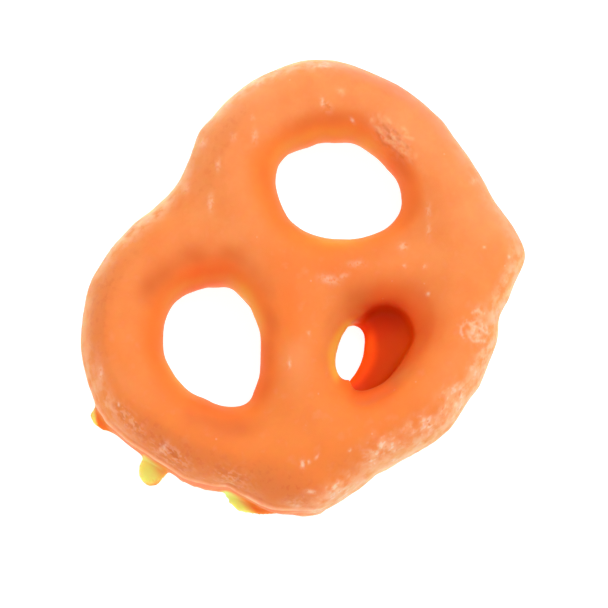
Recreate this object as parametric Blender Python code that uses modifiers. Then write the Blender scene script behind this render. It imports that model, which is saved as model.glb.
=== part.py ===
"""Yogurt coated mini pretzel lying flat on its base, in metres with +Z up.

One dough rope bends into two lobes, crosses itself in the middle and rests both its ends on the
belly. A thick coating hides the dough, fills the creases, closes part of the small front hole
with a thin web and leaves a flat foot with a few drips where it set.

The origin is on the surface that the pretzel lies on, under the middle of its outline.
+Y points to the notch between the lobes, and the belly faces -Y.
"""

import math

import bmesh
import bpy
from mathutils import Vector

MM = 0.001

# The dough rope, in millimetres
DOUGH_HALF_WIDTH = 2.75
DOUGH_HALF_HEIGHT = 3.3
DOUGH_MID_HEIGHT = 3.6
END_WIDTH_SHARE = 0.5

# The coating over it, and the radius up to which it fills a crease
COATING = 0.9
CREASE_FILL = 2.4

# Each half of the rope starts at the front of the belly, which is nearly an arc about a point
# behind the notch: degrees from the front and the radius. It goes on round its own lobe: degrees
# and a share of the dough's width. It then runs down the middle and out to the opposite corner:
# x, y and a height above the ring's middle, where the right half passes over the left one.
BELLY_CENTRE = (0.0, 5.0)
RIGHT_HALF = {
    "side": 1,
    "belly_arc": ((0, 19.4), (12, 19.1), (25, 18.6), (40, 18.1), (56, 17.7)),
    "lobe_centre": (8.3, 4.0),
    "lobe_radii": (8.6, 8.8),
    "lobe_arc": ((-6, 0.86), (16, 0.88), (38, 1.0), (62, 1.0), (86, 1.0), (106, 1.0)),
    "middle": ((4.0, 11.7, 0.0), (1.9, 8.2, 0.2), (0.6, 4.4, 0.6), (-1.5, 0.6, 0.9), (-5.3, -3.4, 0.5)),
    "end": ((-10.8, -8.4, 0.1), (-14.95, -12.35, -0.6)),
}
LEFT_HALF = {
    "side": -1,
    "belly_arc": ((0, 19.4), (12, 19.0), (25, 18.3), (40, 18.1), (56, 17.9)),
    "lobe_centre": (-8.6, 3.8),
    "lobe_radii": (8.4, 8.55),
    "lobe_arc": ((-6, 1.02), (16, 1.04), (38, 1.04), (62, 1.06), (86, 1.1), (106, 1.1)),
    "middle": ((-3.6, 11.5, 0.0), (-1.1, 8.3, 0.0), (0.2, 4.6, -0.2), (1.1, 0.7, -0.2), (5.0, -3.7, 0.2)),
    "end": ((9.9, -8.3, 0.1), (14.9, -12.3, -0.6)),
}

# The flat foot that the coating forms round the base of the rope
FOOT_HALF_WIDTH = 2.8
FOOT_HALF_HEIGHT = 0.4

# The beads that round out the notch between the lobes and the belly beside each of the rope's
# ends: centre, radii and turn
NOTCH_BEAD = ((-0.2, 11.9, 2.9), (3.4, 2.8, 3.4), 0)
CORNER_BEADS = (
    ((12.7, -11.4, 3.2), (3.8, 1.8, 3.2), 38),
    ((-13.6, -10.7, 3.2), (4.8, 1.9, 3.2), -42),
)

# The small hole keeps a steep wall down to a web, whose floor slopes up away from the gap that
# stays open in it. A direction is in degrees from +X.
WEB_CENTRE = (-0.2, -8.0)
WEB_RADII = (5.0, 4.0)
WEB_HEIGHT = 1.4
PIT_CENTRE = (-0.2, -7.9)
PIT_RADII = (4.2, 2.9)
PIT_FLOOR = 1.7
PIT_TOP = 12
PIT_SLOPE_RISE = 0.8
PIT_SLOPE_DIRECTION = -40
GAP_CENTRE = (-2.7, -5.9)
GAP_RADII = (3.3, 2.0)
GAP_TURN = 22

# Drips that ran out from under the left edge: x, y, half length, half width, height and turn
DRIPS = (
    (-19.1, 7.3, 1.5, 1.3, 0.7, -20),
    (-20.2, 1.3, 1.7, 1.1, 0.8, 5),
    (-17.1, -8.1, 1.2, 3.2, 0.6, 33),
)

# How fine the coating is worked out, its gentle lumps, and how far its top levels itself
VOXEL = 0.4
SMOOTH_STEPS = 14
SMOOTH_STRENGTH = 0.5
LUMP_SIZE = 6.0
LUMP_HEIGHT = 0.4
LEVEL_STEPS = 40
TRIANGLES_KEPT = 0.18

# The surface that the pretzel set on, and how far other helper shapes reach past what they cut
TABLE_RADIUS = 60
TABLE_DEPTH = 10
CUT_MARGIN = 3

# How finely the first shapes are drawn, and the gap under which a rope's cap is welded to it
ROPE_STEPS = 8
ROPE_ROUNDNESS = 6
DISC_SIDES = 48
BEAD_SIDES = 20
WELD_DISTANCE = 0.01


def clear_scene():
    for obj in list(bpy.data.objects):
        bpy.data.objects.remove(obj, do_unlink=True)


def new_collection(name):
    collection = bpy.data.collections.new(name)
    bpy.context.scene.collection.children.link(collection)
    return collection


def move_to(collection, obj):
    for old in obj.users_collection:
        old.objects.unlink(obj)
    collection.objects.link(obj)
    return obj


def belly_points(half):
    """The rope's middle line from the front of the belly towards one lobe, each with its width."""
    points = []
    for degrees, radius in half["belly_arc"]:
        turn = math.radians(degrees)
        x = BELLY_CENTRE[0] + half["side"] * radius * math.sin(turn)
        y = BELLY_CENTRE[1] - radius * math.cos(turn)
        points.append(((x, y, 0.0), 1.0))
    return points


def lobe_points(half):
    """The rope's middle line round the outside of one lobe, up to the notch."""
    (x, y), (across, along) = half["lobe_centre"], half["lobe_radii"]
    points = []
    for degrees, width in half["lobe_arc"]:
        turn = math.radians(degrees)
        place = (x + half["side"] * across * math.cos(turn), y + along * math.sin(turn), 0.0)
        points.append((place, width))
    return points


def half_course(half):
    """From the front of the belly to the rope's end, as points with a share of the width each."""
    middle = [(place, 1.0) for place in half["middle"]]
    near_end, tip = half["end"]
    end = [(near_end, (1.0 + END_WIDTH_SHARE) / 2), (tip, END_WIDTH_SHARE)]
    return belly_points(half) + lobe_points(half) + middle + end


def rope_course():
    """The whole rope, from one end round the belly to the other end."""
    return half_course(RIGHT_HALF)[::-1] + half_course(LEFT_HALF)[1:]


def rope_along_course(name, half_width, half_height, mid_height, rise):
    """A solid tube along the rope's course with an oval section. Rise scales its climb at crossings."""
    curve = bpy.data.curves.new(name, "CURVE")
    curve.dimensions = "3D"
    curve.bevel_depth = half_width * MM
    curve.bevel_resolution = ROPE_ROUNDNESS
    curve.use_fill_caps = True
    course = rope_course()
    spline = curve.splines.new("BEZIER")
    spline.resolution_u = ROPE_STEPS
    spline.bezier_points.add(len(course) - 1)
    stretch = half_height / half_width
    for bezier, ((x, y, climb), width) in zip(spline.bezier_points, course):
        bezier.co = Vector((x, y, climb * rise / stretch)) * MM
        bezier.radius = width
        bezier.handle_left_type = "AUTO"
        bezier.handle_right_type = "AUTO"
    obj = bpy.data.objects.new(name, curve)
    obj.location.z = mid_height * MM
    obj.scale.z = stretch
    return obj


def oval_disc(name, centre, radii, low, high, turn=0.0):
    """An upright cylinder with an oval outline, from one height to another."""
    bpy.ops.mesh.primitive_cylinder_add(vertices=DISC_SIDES, radius=1.0, depth=1.0)
    obj = bpy.context.object
    obj.name = name
    obj.location = Vector((*centre, (low + high) / 2)) * MM
    obj.scale = Vector((*radii, high - low)) * MM
    obj.rotation_euler.z = math.radians(turn)
    return obj


def slope_floor(disc, rise, direction):
    """Tilts a disc's lower face about its middle, up by this rise at its edge in one direction."""
    uphill = Vector((math.cos(math.radians(direction)), math.sin(math.radians(direction))))
    for vertex in disc.data.vertices:
        if vertex.co.z < 0:
            vertex.co.z += rise * MM / disc.scale.z * uphill.dot(vertex.co.xy)
    return disc


def bead(name, centre, radii, turn=0.0):
    """A ball with its own radius along each axis."""
    bpy.ops.mesh.primitive_uv_sphere_add(segments=BEAD_SIDES, ring_count=BEAD_SIDES // 2, radius=1.0)
    obj = bpy.context.object
    obj.name = name
    obj.location = Vector(centre) * MM
    obj.scale = Vector(radii) * MM
    obj.rotation_euler.z = math.radians(turn)
    return obj


def as_mesh(curve, collection):
    """A mesh object made from a curve object, in the same place and with its caps welded on."""
    collection.objects.link(curve)
    bpy.context.view_layer.update()
    evaluated = curve.evaluated_get(bpy.context.evaluated_depsgraph_get())
    mesh = bpy.data.meshes.new_from_object(evaluated)
    editable = bmesh.new()
    editable.from_mesh(mesh)
    bmesh.ops.remove_doubles(editable, verts=editable.verts, dist=WELD_DISTANCE * MM)
    editable.to_mesh(mesh)
    editable.free()
    made = bpy.data.objects.new(curve.name + "_mesh", mesh)
    made.matrix_world = curve.matrix_world
    collection.objects.link(made)
    bpy.data.objects.remove(curve)
    return made


def joined(name, objects):
    """One object holding all these shapes, with their places applied to its mesh."""
    bpy.ops.object.select_all(action="DESELECT")
    for obj in objects:
        obj.select_set(True)
    bpy.context.view_layer.objects.active = objects[0]
    bpy.ops.object.join()
    bpy.ops.object.transform_apply(location=True, rotation=True, scale=True)
    objects[0].name = name
    return objects[0]


def fuse(pretzel, name):
    remesh = pretzel.modifiers.new(name, "REMESH")
    remesh.mode = "VOXEL"
    remesh.voxel_size = VOXEL * MM
    remesh.use_smooth_shade = True


def swell(pretzel, name, distance):
    """Moves the whole surface outwards, or inwards for a distance below zero."""
    displace = pretzel.modifiers.new(name, "DISPLACE")
    displace.mid_level = 0.0
    displace.strength = distance * MM


def coat(pretzel):
    """Fuses the shapes, lays the coating on them and leaves a gently uneven surface.

    Swelling past the coating's thickness and settling back closes the creases. The last smoothing
    only moves points up or down, which makes the creases shallow and leaves the outline as it is."""
    fuse(pretzel, "fuse_dough")
    swell(pretzel, "cover", COATING + CREASE_FILL)
    fuse(pretzel, "fuse_coating")
    swell(pretzel, "settle", -CREASE_FILL)
    fuse(pretzel, "even_out")
    lumps = bpy.data.textures.new("coating_lumps", "CLOUDS")
    lumps.noise_scale = LUMP_SIZE * MM
    uneven = pretzel.modifiers.new("uneven", "DISPLACE")
    uneven.texture = lumps
    uneven.texture_coords = "LOCAL"
    uneven.strength = LUMP_HEIGHT * MM
    soften = pretzel.modifiers.new("soften", "SMOOTH")
    soften.factor = SMOOTH_STRENGTH
    soften.iterations = SMOOTH_STEPS
    level = pretzel.modifiers.new("level_out", "SMOOTH")
    level.use_x = False
    level.use_y = False
    level.factor = SMOOTH_STRENGTH
    level.iterations = LEVEL_STEPS
    thin = pretzel.modifiers.new("thin_out", "DECIMATE")
    thin.ratio = TRIANGLES_KEPT


def add_boolean(pretzel, name, operation, helper, collection):
    move_to(collection, helper)
    helper.hide_render = True
    helper.display_type = "WIRE"
    boolean = pretzel.modifiers.new(name, "BOOLEAN")
    boolean.operation = operation
    boolean.object = helper


def centre_over_origin(pretzel, objects):
    """Moves all these objects sideways, so that the pretzel's outline is centred on the origin."""
    bpy.context.view_layer.update()
    finished = pretzel.evaluated_get(bpy.context.evaluated_depsgraph_get())
    corners = [finished.matrix_world @ Vector(corner) for corner in finished.bound_box]
    middle_x = (min(corner.x for corner in corners) + max(corner.x for corner in corners)) / 2
    middle_y = (min(corner.y for corner in corners) + max(corner.y for corner in corners)) / 2
    for obj in objects:
        obj.location.x -= middle_x
        obj.location.y -= middle_y


def coating_material():
    material = bpy.data.materials.new("orange_yogurt_coating")
    material.use_nodes = True
    shader = material.node_tree.nodes["Principled BSDF"]
    shader.inputs["Base Color"].default_value = (0.93, 0.33, 0.10, 1.0)
    shader.inputs["Roughness"].default_value = 0.5
    shader.inputs["Metallic"].default_value = 0.0
    return material


def build():
    clear_scene()
    parts = new_collection("yogurt_pretzel")
    helpers = new_collection("helpers")

    rope = rope_along_course("rope", DOUGH_HALF_WIDTH, DOUGH_HALF_HEIGHT, DOUGH_MID_HEIGHT, 1.0)
    foot = rope_along_course("foot", FOOT_HALF_WIDTH, FOOT_HALF_HEIGHT, 0.0, 0.0)
    web = move_to(parts, oval_disc("web", WEB_CENTRE, WEB_RADII, -CUT_MARGIN, WEB_HEIGHT))
    notch = move_to(parts, bead("notch_bead", *NOTCH_BEAD))
    corners = [move_to(parts, bead("corner_bead", *corner)) for corner in CORNER_BEADS]
    pretzel = joined("pretzel", [as_mesh(rope, parts), as_mesh(foot, parts), web, notch, *corners])
    coat(pretzel)

    for number, (x, y, half_length, half_width, height, turn) in enumerate(DRIPS, start=1):
        drip = bead(f"drip_{number}", (x, y, 0), (half_length, half_width, height), turn)
        add_boolean(pretzel, f"add_drip_{number}", "UNION", drip, helpers)
    pit = oval_disc("pit", PIT_CENTRE, PIT_RADII, PIT_FLOOR, PIT_TOP)
    slope_floor(pit, PIT_SLOPE_RISE, PIT_SLOPE_DIRECTION)
    add_boolean(pretzel, "steep_pit", "DIFFERENCE", pit, helpers)
    gap = oval_disc("gap", GAP_CENTRE, GAP_RADII, -CUT_MARGIN, CUT_MARGIN, GAP_TURN)
    add_boolean(pretzel, "open_gap", "DIFFERENCE", gap, helpers)
    table = oval_disc("table", (0, 0), (TABLE_RADIUS, TABLE_RADIUS), -TABLE_DEPTH, 0)
    add_boolean(pretzel, "flat_base", "DIFFERENCE", table, helpers)

    centre_over_origin(pretzel, [pretzel, *helpers.objects])
    triangles = pretzel.modifiers.new("triangles", "TRIANGULATE")
    triangles.ngon_method = "BEAUTY"
    pretzel.data.materials.clear()
    pretzel.data.materials.append(coating_material())


build()
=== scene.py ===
"""Looks of the yogurt covered mini pretzel: relief, colours and translucency, on a white table."""

import math

import bmesh
import bpy
import numpy as np
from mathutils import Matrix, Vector, noise


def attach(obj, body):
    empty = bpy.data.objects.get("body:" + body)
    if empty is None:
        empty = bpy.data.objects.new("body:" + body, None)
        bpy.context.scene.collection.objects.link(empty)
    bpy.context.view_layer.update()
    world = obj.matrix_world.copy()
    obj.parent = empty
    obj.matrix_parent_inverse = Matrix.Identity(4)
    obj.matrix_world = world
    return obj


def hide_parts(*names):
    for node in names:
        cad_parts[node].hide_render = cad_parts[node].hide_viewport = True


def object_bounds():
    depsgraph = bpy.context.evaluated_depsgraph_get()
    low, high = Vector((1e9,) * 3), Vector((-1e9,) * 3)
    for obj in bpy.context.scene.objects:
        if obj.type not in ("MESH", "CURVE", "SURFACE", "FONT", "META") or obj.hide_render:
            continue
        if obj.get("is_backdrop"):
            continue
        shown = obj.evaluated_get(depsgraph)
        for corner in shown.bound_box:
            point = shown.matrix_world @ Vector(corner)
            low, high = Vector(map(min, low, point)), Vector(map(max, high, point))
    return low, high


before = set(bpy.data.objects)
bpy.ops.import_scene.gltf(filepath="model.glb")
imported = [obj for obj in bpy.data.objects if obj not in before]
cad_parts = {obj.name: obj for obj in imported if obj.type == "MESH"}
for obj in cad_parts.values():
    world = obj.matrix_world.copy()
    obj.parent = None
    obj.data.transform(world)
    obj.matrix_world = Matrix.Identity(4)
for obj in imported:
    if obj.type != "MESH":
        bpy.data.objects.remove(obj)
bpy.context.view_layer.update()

# Lengths and places are in millimetres where nothing else is said, and MM makes them metres.
# Angles are in degrees.
MM = 0.001

# Camera: the photo looks steeply down, with the notch to the upper left. Its distance and its near
# clipping are in metres, and its frame is as wide as the part's plan from corner to corner.
CAMERA_AZIMUTH = -52
CAMERA_ELEVATION = 80
CAMERA_DISTANCE = 0.6
CAMERA_CLIP = 0.01
CAMERA_SENSOR = 36

# Light: how strong the surroundings are, and for each lamp its azimuth, elevation, distance and size
# in metres, and power in watts
WORLD_STRENGTH = 0.74
LAMPS = {
    "key": (83, 58, 0.4, 0.24, 0.65),
    "fill": (-97, 15, 0.4, 0.24, 0.12),
}

# The table glows, to be as white as the photo's. Its size is in metres, and it lies a hair above the
# part's base, so that the two don't flicker.
TABLE_SIZE = 6.0
TABLE_HEIGHT = 0.02
TABLE_GREY = (0.35, 0.35, 0.35, 1)
TABLE_ROUGHNESS = 0.8
TABLE_SPECULAR = 0.1
TABLE_GLOW = 0.9

# The fine mesh: how near points are joined, how large its faces are and how often it is evened out.
# Faces are cut finer where a mark is stronger than MARKED, and around lines drawn on the coating.
JOIN_REACH = 0.001
VOXEL = 0.26
SMOOTH_STEPS = 8
MARKED = 0.28
MARK_CUTS = 2
DRAWN_REACH = 1.9

# Relief: its height, and for what noise makes also the size of that noise
SWELL = (0.06, 3.0)
ORANGE_PEEL = (0.014, 0.6)
GRAIN = (0.10, 0.36)
PITS = (0.12, 0.42)
FLECK_HEIGHT = 0.05
SCRATCH_HEIGHT = 0.02
SCAR_HEIGHT = 0.03

# Which way grain and pits are drawn out in plan, and how much longer than wide that makes them
GRAIN_RUN = (-18, 1.5)
PIT_RUN = (82, 2.0)

# Noise: how much finer each of its octaves is than the one before, and how fast they weaken
NOISE_FINER = 2.0
NOISE_WEAKER = 0.6

# How quickly a soft oval fades around its edge
SOFTNESS = 1.2

# The lip along the lower left wall: height on the wall, and how far the wall is moved out there
LIP_PROFILE = (
    (0.0, 0.27), (1.0, 0.27), (1.4, 0.16), (1.8, 0.07), (2.4, -0.02), (3.2, -0.13), (3.8, -0.11),
    (4.1, 0.08), (4.35, 0.16), (4.6, 0.10), (5.0, -0.02), (5.5, 0.0),
)
LIP_HEIGHT = 4.38

# The photo's own directions on the table: to its right and to its top
PHOTO_RIGHT = (0.616, -0.788)
PHOTO_UP = (0.788, 0.616)

# The outline as an oval: its middle, half length and half width
OUTLINE = (0, -0.5, 19.5, 16.5)

# The holes' middles in plan, and how their rims are found: by the nearest points above a height, in
# steps of so many degrees, each starting from a distance that is further than any rim
RIMS = {"upper": (9.9, 4.3), "left": (-8.1, 4.4), "small": (-0.3, -6.6)}
RIM_HEIGHT = 4.6
RIM_STEP = 6
RIM_FAR = 99.0

# The small hole's hollow: its middle, half length and half width, the way its far side with painted shadow
# lies, and how deep its rim is dished out to how many times its reach
HOLLOW = (0.6, -7.16, 4.2, 2.9)
HOLLOW_SHADOW_WAY = (0.375, 0.927)
DISH_DEPTH = 0.75
DISH_REACH = 1.7

# The gap that stays open beside the web: its middle, half length, half width and turn. Around it the
# web's underside is lifted, up to a height on the web and out to so many times the gap's reach.
GAP = (-1.9, -5.2, 3.3, 2.0, 22)
WEB_LIFT = 1.0
WEB_LIFT_TOP = 1.7
WEB_LIFT_REACH = 1.7

# The gap as the photo shows it: its middle to the photo's right and up, half length, half width, turn.
# Its edge is found as the rims are.
SEEN_GAP = (4.0, -3.70, 2.42, 1.19, 76)
GAP_STEP = 8
GAP_FAR = 9.0
GAP_SMOOTH_STEPS = 5

# Stretches around the gap's middle, as a middle way and how far off it they are full and then gone
GAP_LEFT = (165, 70, 90)
GAP_TOP = (75, 20, 45)
OVER_GAP = (98, 18, 34)

# Where the hollow's wall stands above the web beside the gap: the ways where that starts, is full,
# fades and ends. The gap's edge is evened out over all the heights between GAP_EVEN_WAYS.
BESIDE_WEB = (266, 280, 320, 335)
GAP_EVEN_WAYS = (30, 120)

# Drips: x, y, half length, half width, turn, the way their far side lies and how wide its painted yellow glow
# is
DRIPS = (
    (-18.3, 8.0, 1.7, 1.5, -20, 138, 0.6),
    (-19.4, 2.0, 1.9, 1.3, 5, 163, 2.8),
    (-16.3, -7.4, 1.4, 3.4, 33, 173, 1.3),
)
# Small corrections to the walls: x, y, reach and how far the wall moves there, the way that it faces
OUTLINE_TRIMS = (
    (-19.3, -1.4, 1.8, 0.30), (-18.3, -5.0, 0.9, -0.12), (-18.1, -5.0, 0.9, -0.30),
    (-17.5, -8.3, 1.2, -0.10), (-15.6, -11.1, 1.2, -0.07), (-15.3, -11.6, 1.6, -0.18),
    (-12.9, -13.2, 1.2, -0.14), (-11.1, -13.9, 1.4, -0.22), (-10.2, -13.5, 1.2, 0.10),
    (-8.8, -14.3, 1.2, 0.14), (-7.0, -15.2, 1.2, 0.12), (-2.4, -16.6, 2.0, 0.18),
    (-0.7, -17.0, 1.2, 0.10), (1.9, -17.0, 2.2, -0.20), (2.4, -16.8, 1.2, -0.08),
    (3.2, -16.4, 1.4, 0.12), (5.6, -16.3, 1.8, -0.08), (7.7, -15.4, 1.4, 0.08),
    (9.6, -14.6, 1.2, -0.14), (12.1, -13.6, 1.4, 0.12), (12.8, -13.7, 1.6, -0.28),
    (17.0, -11.4, 1.6, -0.28), (17.8, -7.8, 1.6, 0.16), (18.2, -6.2, 1.6, 0.06), (20.4, 0.5, 1.4, 0.08),
    (21.0, 0.8, 2.5, 0.14), (19.3, 4.0, 1.0, 0.06), (20.6, 8.7, 2.5, -0.12), (14.3, 16.1, 3.0, -0.13),
    (12.3, 16.5, 1.4, 0.07), (10.2, 17.1, 1.4, 0.10), (7.2, 17.1, 1.2, -0.04), (6.7, 17.3, 1.2, 0.10),
    (6.6, 17.3, 1.2, 0.08), (6.2, 17.2, 2.2, 0.36), (3.4, 16.5, 1.4, 0.20), (0.9, 16.0, 1.5, -0.18),
    (-1.4, 16.3, 1.0, 0.08), (-3.2, 16.8, 2.2, 0.26), (-8.7, 16.9, 1.8, -0.18),
    (-12.6, 15.4, 2.5, -0.26), (-15.3, 13.9, 3.0, -0.22), (-17.9, 10.8, 2.5, -0.20),
    (-19.4, 9.0, 0.9, 0.34), (-19.7, 7.4, 0.7, 0.25), (-20.6, 1.6, 0.9, 0.38), (-20.3, 0.1, 0.8, 0.40),
)
UPPER_HOLE_TRIMS = (
    (7.6, 0.6, 1.8, -0.36), (8.1, -0.2, 1.1, -0.09), (12.2, -1.2, 1.1, -0.05), (14.0, 0.5, 1.8, -0.20),
    (14.4, 2.4, 1.0, 0.14), (14.4, 2.6, 1.4, -0.20), (14.4, 4.9, 1.0, 0.07), (13.4, 6.9, 1.2, 0.29),
    (13.4, 7.0, 1.0, 0.09), (13.3, 7.2, 1.4, 0.10), (11.7, 8.6, 1.2, 0.16), (11.7, 8.6, 1.0, 0.08),
    (11.2, 9.0, 2.0, 0.26), (7.4, 9.3, 1.6, 0.10), (5.6, 5.8, 1.8, -0.36),
)
LEFT_HOLE_TRIMS = (
    (-12.5, 3.9, 1.8, -0.12), (-12.5, 3.5, 1.0, -0.10), (-12.5, 2.5, 1.0, -0.13),
    (-12.2, 1.0, 0.9, -0.10), (-11.0, -0.4, 1.8, -0.40), (-10.3, -1.2, 1.1, -0.16),
    (-9.9, -1.1, 1.0, -0.16), (-4.9, 1.4, 1.8, -0.40), (-3.1, 5.0, 1.2, 0.14), (-3.1, 5.1, 1.5, -0.16),
    (-3.1, 5.1, 0.9, 0.10), (-3.0, 6.6, 0.9, -0.18), (-3.8, 7.4, 1.2, 0.14), (-4.9, 8.6, 1.0, 0.15),
    (-6.6, 9.1, 1.6, -0.20), (-7.4, 9.6, 1.1, -0.12), (-10.3, 8.4, 1.6, 0.30), (-10.8, 7.8, 1.0, 0.10),
    (-11.7, 7.1, 1.1, 0.12), (-12.1, 6.0, 1.2, 0.16),
)
SMALL_HOLE_TRIMS = (
    (-3.6, -9.0, 1.5, -0.55), (-1.6, -10.3, 1.5, -0.35), (3.6, -9.4, 1.4, -0.30),
    (1.9, -4.5, 1.2, 0.30),
)
TRIMS = OUTLINE_TRIMS + UPPER_HOLE_TRIMS + LEFT_HOLE_TRIMS + SMALL_HOLE_TRIMS

# Places where the edges of the solid are rounded in plan: x, y, reach, and from and to which height.
# The last one is the whole part above its foot.
ROUNDED = (
    (9.9, 4.3, 6.6, 0, 1.4),
    (-8.1, 4.4, 6.3, 0, 1.4),
    (-2.5, -6.9, 1.5, 0, 2.6),
    (0, 0, 30, 1.3, 8.6),
)
ROUNDING_STEPS = 18

# How often the way that a wall faces is evened out, so that its colours change softly around corners
WAY_STEPS = 110

# Marks on the coating, as ovals in plan: x, y, half length, half width, turn and strength. Grain is
# crumbly bloom, pits are small hollows darkened with painted shade, shade is painted brownish shade, and
# flecks are pale smears.
GRAIN_PATCHES = (
    (-14.0, -12.3, 1.2, 0.5, -30, 0.6),
    (-11.7, -12.9, 2.2, 0.75, -18, 1.0),
    (-6.8, -13.9, 1.8, 1.2, -18, 1.0),
    (-3.2, -15.3, 1.8, 0.9, -14, 0.85),
    (0.7, -16.0, 1.5, 1.0, 0, 0.95),
    (4.0, -15.8, 1.4, 0.6, 18, 0.4),
    (17.7, 11.8, 1.4, 0.7, -40, 0.4),
    (7.1, -13.7, 1.3, 1.2, 0, 0.5),
)
PIT_PATCHES = (
    (16.2, 2.9, 2.7, 0.9, 82, 0.4),
    (14.9, 9.2, 0.7, 0.5, 60, 0.5),
    (-18.4, 5.6, 2.6, 0.7, 84, 0.6),
    (-18.5, 0.8, 2.4, 0.8, -86, 0.7),
    (-16.8, -4.6, 2.2, 0.8, -70, 0.5),
    (-14.6, -10.8, 1.3, 0.5, -50, 0.35),
)
SHADE_PATCHES = (
    (-18.0, 6.5, 2.6, 1.0, 80, 0.15),
    (-17.2, -3.0, 3.4, 1.4, -74, 0.5),
    (-14.9, -9.2, 3.0, 1.7, -55, 1.0),
    (-9.8, -12.2, 2.4, 1.0, -20, 0.5),
)
FLECKS = (
    (8.7, 12.6, 0.65, 0.28, 38, 0.6), (4.6, 13.6, 0.6, 0.25, 38, 0.55), (1.5, 12.0, 0.9, 0.30, 38, 0.55),
    (9.9, 13.8, 0.25, 0.2, 38, 0.4), (7.5, 14.1, 0.5, 0.35, 38, 0.35), (1.3, 14.6, 0.6, 0.3, 38, 0.35),
    (17.8, 11.7, 0.8, 0.3, -52, 0.5), (14.9, 9.8, 0.42, 0.2, 50, 1.0), (16.7, 9.1, 0.5, 0.3, 83, 0.4),
    (15.4, 6.7, 0.3, 0.15, 83, 0.8), (5.6, 16.1, 0.5, 0.4, 38, 0.5), (12.9, 15.5, 0.6, 0.3, -52, 0.4),
    (9.0, -4.0, 0.42, 0.38, 0, 0.7), (5.1, -1.8, 0.75, 0.3, -52, 0.6), (2.5, -0.7, 0.9, 0.4, -62, 0.7),
    (3.5, -1.5, 0.5, 0.25, -30, 0.5), (13.0, -3.8, 0.7, 0.25, 38, 0.45), (11.6, -4.9, 0.7, 0.25, 38, 0.45),
    (8.7, -6.7, 0.2, 0.17, 0, 0.9), (7.0, -8.4, 0.18, 0.18, 0, 1.0), (7.6, -5.2, 0.2, 0.15, 0, 0.6),
    (13.4, -9.8, 0.15, 0.13, 0, 0.8), (14.2, -12.0, 0.17, 0.15, 0, 0.8), (8.5, -13.1, 0.8, 0.5, 38, 0.4),
    (17.4, -8.5, 0.4, 0.25, -7, 0.4), (17.7, -5.3, 0.5, 0.3, -7, 0.4), (-16.7, 10.2, 0.7, 0.22, 38, 0.7),
    (-17.9, 7.2, 0.2, 0.15, 38, 0.8), (-18.4, 1.7, 0.6, 0.25, -7, 0.6), (-5.7, -2.6, 0.42, 0.16, 38, 0.9),
    (-2.5, -2.3, 0.2, 0.16, 38, 0.6), (-12.1, -9.1, 0.4, 0.22, 38, 1.0), (-11.6, -9.4, 0.22, 0.16, -7, 0.8),
    (-10.8, -9.7, 0.3, 0.14, -7, 0.7), (-8.5, -11.6, 0.18, 0.14, 0, 0.8), (-13.5, -11.1, 0.5, 0.18, -58, 0.8),
    (-15.1, -10.7, 0.8, 0.22, -60, 0.6), (16.3, 3.0, 2.4, 0.9, 82, 0.25),
)

# Marks drawn as lines: a middle, how wide the lines are, and the lines given to the photo's right
# and top from that middle
SCRATCHES = (
    (7.07, -13.56), 0.14,
    ((-0.70, 0.60), (-0.45, 0.30), (0.15, 0.10), (0.60, -0.10), (1.13, -0.36)),
    ((-0.45, 0.30), (0.3, 0.55)),
    ((-0.70, 0.60), (-1.15, -0.05), (-1.20, -0.55), (-0.95, -0.95)),
    ((-0.40, -0.85), (-0.10, -1.2), (0.35, -1.15), (0.85, -1.10)),
    ((-0.65, -0.35), (-0.1, -0.55), (0.6, -0.65)),
    ((1.10, 0.35), (1.13, -0.36)),
    ((-0.15, 1.35), (0.35, 1.6), (0.85, 1.35)),
)
SCAR_LIGHT = (
    (16.1, 2.64), 0.18,
    ((-1.9, 1.9), (-1.2, 0.9), (-0.8, 0.3), (-0.4, 0.0), (0.1, -0.2)),
    ((0.1, -0.4), (0.8, -0.9), (1.5, -1.4)),
    ((-0.6, 2.1), (-0.3, 1.6)),
    ((0.9, 1.1), (1.3, 0.5)),
    ((1.1, 0.3), (1.7, 0.1)),
    ((1.6, -1.8), (2.0, -1.3)),
    ((-0.1, 0.5), (0.2, 0.1)),
    ((-1.3, 2.3), (-1.0, 1.8)),
    ((0.5, 0.2), (1.0, -0.4)),
)
# Shallow grooves beside the scar, darkened with painted shadow
SCAR_GROOVE_SHADE = (
    (16.1, 2.64), 0.14,
    ((-0.9, 1.4), (-0.4, 0.8)),
    ((0.0, 0.9), (0.6, 0.4)),
    ((0.3, 0.2), (0.9, -0.2), (1.3, -0.7)),
    ((-1.5, 0.9), (-0.9, -0.1), (-0.1, -0.6), (0.9, -1.5)),
    ((-0.5, 0.5), (-0.2, 0.2)),
)

# Bands that follow a hole's rim: the rim, from and to in degrees, how far out its middle lies, half
# width and strength. The first are painted shade on the slopes down into the holes, the next painted
# orange glow, then painted red glow close to the rim, and painted yellow glow where the coating is thin.
SHADE_BANDS = (
    ("upper", -82, -52, 0.95, 0.65, 0.65),
    ("upper", -52, -22, 0.85, 0.65, 0.75),
    ("upper", -22, 12, 1.5, 0.7, 0.5),
    ("upper", 8, 80, 1.3, 0.7, 0.65),
    ("upper", -130, -82, 2.2, 1.0, 0.4),
    ("left", -82, -52, 0.8, 0.6, 0.7),
    ("left", -52, -22, 1.1, 0.7, 0.75),
    ("left", -112, -82, 1.0, 0.8, 0.55),
    ("left", -160, -115, 2.2, 1.3, 1.0),
    ("left", -200, -165, 1.9, 0.8, 0.35),
    ("left", -240, -200, 1.6, 0.8, 0.2),
    ("left", -22, 15, 1.9, 0.8, 0.35),
    ("left", 15, 38, 2.1, 0.9, 0.85),
    ("left", 38, 98, 2.1, 1.1, 1.0),
    ("small", -60, 60, 0.6, 1.8, 1.0),
    ("small", -145, -50, 0.4, 1.4, 0.8),
)
# Painted orange glow along the rims
RIM_GLOW_BANDS = (
    ("upper", 105, 215, 1.6, 1.3, 0.75),
    ("left", 190, 245, 1.9, 1.1, 0.6),
    ("left", -55, -20, 2.5, 1.2, 0.5),
    ("small", -175, -90, 0.8, 1.6, 0.9),
)
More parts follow.
